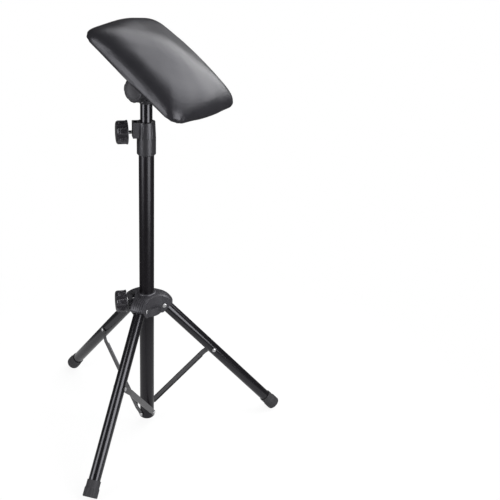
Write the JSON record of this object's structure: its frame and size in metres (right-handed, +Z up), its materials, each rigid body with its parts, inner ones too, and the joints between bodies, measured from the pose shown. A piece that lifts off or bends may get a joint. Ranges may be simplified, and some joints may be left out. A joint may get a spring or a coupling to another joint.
{
  "type": "tattoo arm rest stand",
  "caption": "Folding tripod stand with a height-adjustable post that carries a tilting, swivelling padded rest for an arm or a leg.",
  "frame": {"origin": "centre of the flat underside of the plug that closes the bottom of the column, on the column axis", "axes": "+Z up the column; +X along one leg of the tripod as seen from above; both column clamp knobs point along -X"},
  "size_m": [0.4872, 0.5578, 0.9207],
  "materials": {
    "painted_tube": "satin black powder coat",
    "black_plastic": "moulded black nylon, fine matt",
    "nylon": "plain black nylon",
    "rubber": "dark grey rubber",
    "brace_strip": "dark grey coat",
    "zinc_steel": "bright zinc plate",
    "brass": "turned",
    "cover_leather": "smooth satin black leather cloth",
    "foam": "open cell foam",
    "plywood": "raw plywood",
    "dust_cloth": "thin black non-woven cloth"
  },
  "bodies": {
    "column": {"column_tube": "painted_tube", "column_plug": "nylon", "clamp_collar": "black_plastic", "collar_nut": "zinc_steel"},
    "collar_shoe": {"collar_shoe": "nylon"},
    "collar_knob": {"collar_knob": "black_plastic", "collar_screw": "zinc_steel"},
    "hub": {"hub_body": "black_plastic", "hub_nut": "zinc_steel", "hub_rivets": "zinc_steel"},
    "hub_shoe": {"hub_shoe": "nylon"},
    "hub_knob": {"hub_knob": "black_plastic", "hub_screw": "zinc_steel"},
    "leg_1": {"leg_tube_1": "painted_tube", "foot_1": "rubber", "leg_rivet_1": "zinc_steel"},
    "brace_1": {"brace_1": "brace_strip", "brace_rivet_1": "zinc_steel"},
    "leg_2": {"leg_tube_2": "painted_tube", "foot_2": "rubber", "leg_rivet_2": "zinc_steel"},
    "brace_2": {"brace_2": "brace_strip", "brace_rivet_2": "zinc_steel"},
    "leg_3": {"leg_tube_3": "painted_tube", "foot_3": "rubber", "leg_rivet_3": "zinc_steel"},
    "brace_3": {"brace_3": "brace_strip", "brace_rivet_3": "zinc_steel"},
    "post": {"post_bush": "nylon"},
    "head": {"post_tube": "painted_tube", "tilt_neck": "black_plastic", "neck_pin": "zinc_steel"},
    "rest": {"tilt_bracket": "black_plastic", "tilt_bolt": "zinc_steel", "pad_board": "plywood", "pad_foam": "foam", "pad_cover": "cover_leather", "dust_cloth": "dust_cloth", "tee_nut": "zinc_steel", "keeper_strip": "brace_strip", "keeper_screws": "zinc_steel"},
    "tilt_washer": {"tilt_washer": "zinc_steel"},
    "tilt_knob": {"tilt_knob": "black_plastic", "tilt_insert": "brass"},
    "thumb_washer": {"thumb_washer": "zinc_steel"},
    "thumb_knob": {"thumb_knob": "black_plastic", "thumb_screw": "zinc_steel"}
  },
  "joints": [
    {"name": "hub_slide", "type": "slide", "parent": "column", "child": "hub", "axis": [0, 0, 1], "range_m": [0, 0.1043]},
    {"name": "leg_1_fold", "type": "hinge", "parent": "hub", "child": "leg_1", "pos_m": [0.037, 0, 0.2955], "axis": [0, 1, 0], "range_deg": [0, 42.4]},
    {"name": "brace_1_fold", "type": "hinge", "parent": "leg_1", "child": "brace_1", "pos_m": [0.1535, 0, 0.16761], "axis": [0, 1, 0], "range_deg": [-77, 0]},
    {"name": "leg_2_fold", "type": "hinge", "parent": "hub", "child": "leg_2", "pos_m": [-0.0185, 0.03204, 0.2955], "axis": [-0.866, -0.5, 0], "range_deg": [0, 42.4]},
    {"name": "brace_2_fold", "type": "hinge", "parent": "leg_2", "child": "brace_2", "pos_m": [-0.07675, 0.13293, 0.16761], "axis": [-0.866, -0.5, 0], "range_deg": [-77, 0]},
    {"name": "leg_3_fold", "type": "hinge", "parent": "hub", "child": "leg_3", "pos_m": [-0.0185, -0.03204, 0.2955], "axis": [0.866, -0.5, 0], "range_deg": [0, 42.4]},
    {"name": "brace_3_fold", "type": "hinge", "parent": "leg_3", "child": "brace_3", "pos_m": [-0.07675, -0.13293, 0.16761], "axis": [0.866, -0.5, 0], "range_deg": [-77, 0]},
    {"name": "post_slide", "type": "slide", "parent": "column", "child": "post", "axis": [0, 0, 1], "range_m": [-0.037, 0.4]},
    {"name": "head_swivel", "type": "hinge", "parent": "post", "child": "head", "pos_m": [0, 0, 0.76], "axis": [0, 0, 1], "continuous": true},
    {"name": "pad_tilt", "type": "hinge", "parent": "head", "child": "rest", "pos_m": [0, 0, 0.782], "axis": [0.7396, 0.673, 0], "range_deg": [-76, 34]},
    {"name": "collar_shoe_slide", "type": "slide", "parent": "column", "child": "collar_shoe", "axis": [-1, 0, 0], "range_m": [0, 0.00126]},
    {"name": "collar_knob_turn", "type": "hinge", "parent": "collar_shoe", "child": "collar_knob", "pos_m": [-0.05, 0, 0.69], "axis": [-1, 0, 0], "range_deg": [0, 360]},
    {"name": "hub_shoe_slide", "type": "slide", "parent": "hub", "child": "hub_shoe", "axis": [-1, 0, 0], "range_m": [0, 0.00126]},
    {"name": "hub_knob_turn", "type": "hinge", "parent": "hub_shoe", "child": "hub_knob", "pos_m": [-0.05, 0, 0.3055], "axis": [-1, 0, 0], "range_deg": [0, 360]},
    {"name": "tilt_washer_slide", "type": "slide", "parent": "rest", "child": "tilt_washer", "axis": [-0.7396, -0.673, 0], "range_m": [0, 0.00126]},
    {"name": "tilt_knob_turn", "type": "hinge", "parent": "tilt_washer", "child": "tilt_knob", "pos_m": [0, 0, 0.782], "axis": [-0.7396, -0.673, 0], "range_deg": [0, 360]},
    {"name": "thumb_washer_slide", "type": "slide", "parent": "rest", "child": "thumb_washer", "axis": [-0.3466, 0.3809, -0.8572], "range_m": [0, 0.00101]},
    {"name": "thumb_knob_turn", "type": "hinge", "parent": "thumb_washer", "child": "thumb_knob", "pos_m": [0.03751, -0.04123, 0.78351], "axis": [-0.3466, 0.3809, -0.8572], "range_deg": [0, 360]}
  ],
  "couplings": [
    {"joint": "leg_1_fold", "follows": "hub_slide", "rad_per_m": 7.0806},
    {"joint": "brace_1_fold", "follows": "hub_slide", "rad_per_m": -12.859},
    {"joint": "leg_2_fold", "follows": "hub_slide", "rad_per_m": 7.0806},
    {"joint": "brace_2_fold", "follows": "hub_slide", "rad_per_m": -12.859},
    {"joint": "leg_3_fold", "follows": "hub_slide", "rad_per_m": 7.0806},
    {"joint": "brace_3_fold", "follows": "hub_slide", "rad_per_m": -12.859},
    {"joint": "collar_shoe_slide", "follows": "collar_knob_turn", "m_per_rad": 0.00019894},
    {"joint": "hub_shoe_slide", "follows": "hub_knob_turn", "m_per_rad": 0.00019894},
    {"joint": "tilt_washer_slide", "follows": "tilt_knob_turn", "m_per_rad": 0.00019894},
    {"joint": "thumb_washer_slide", "follows": "thumb_knob_turn", "m_per_rad": 0.00015915}
  ]
}
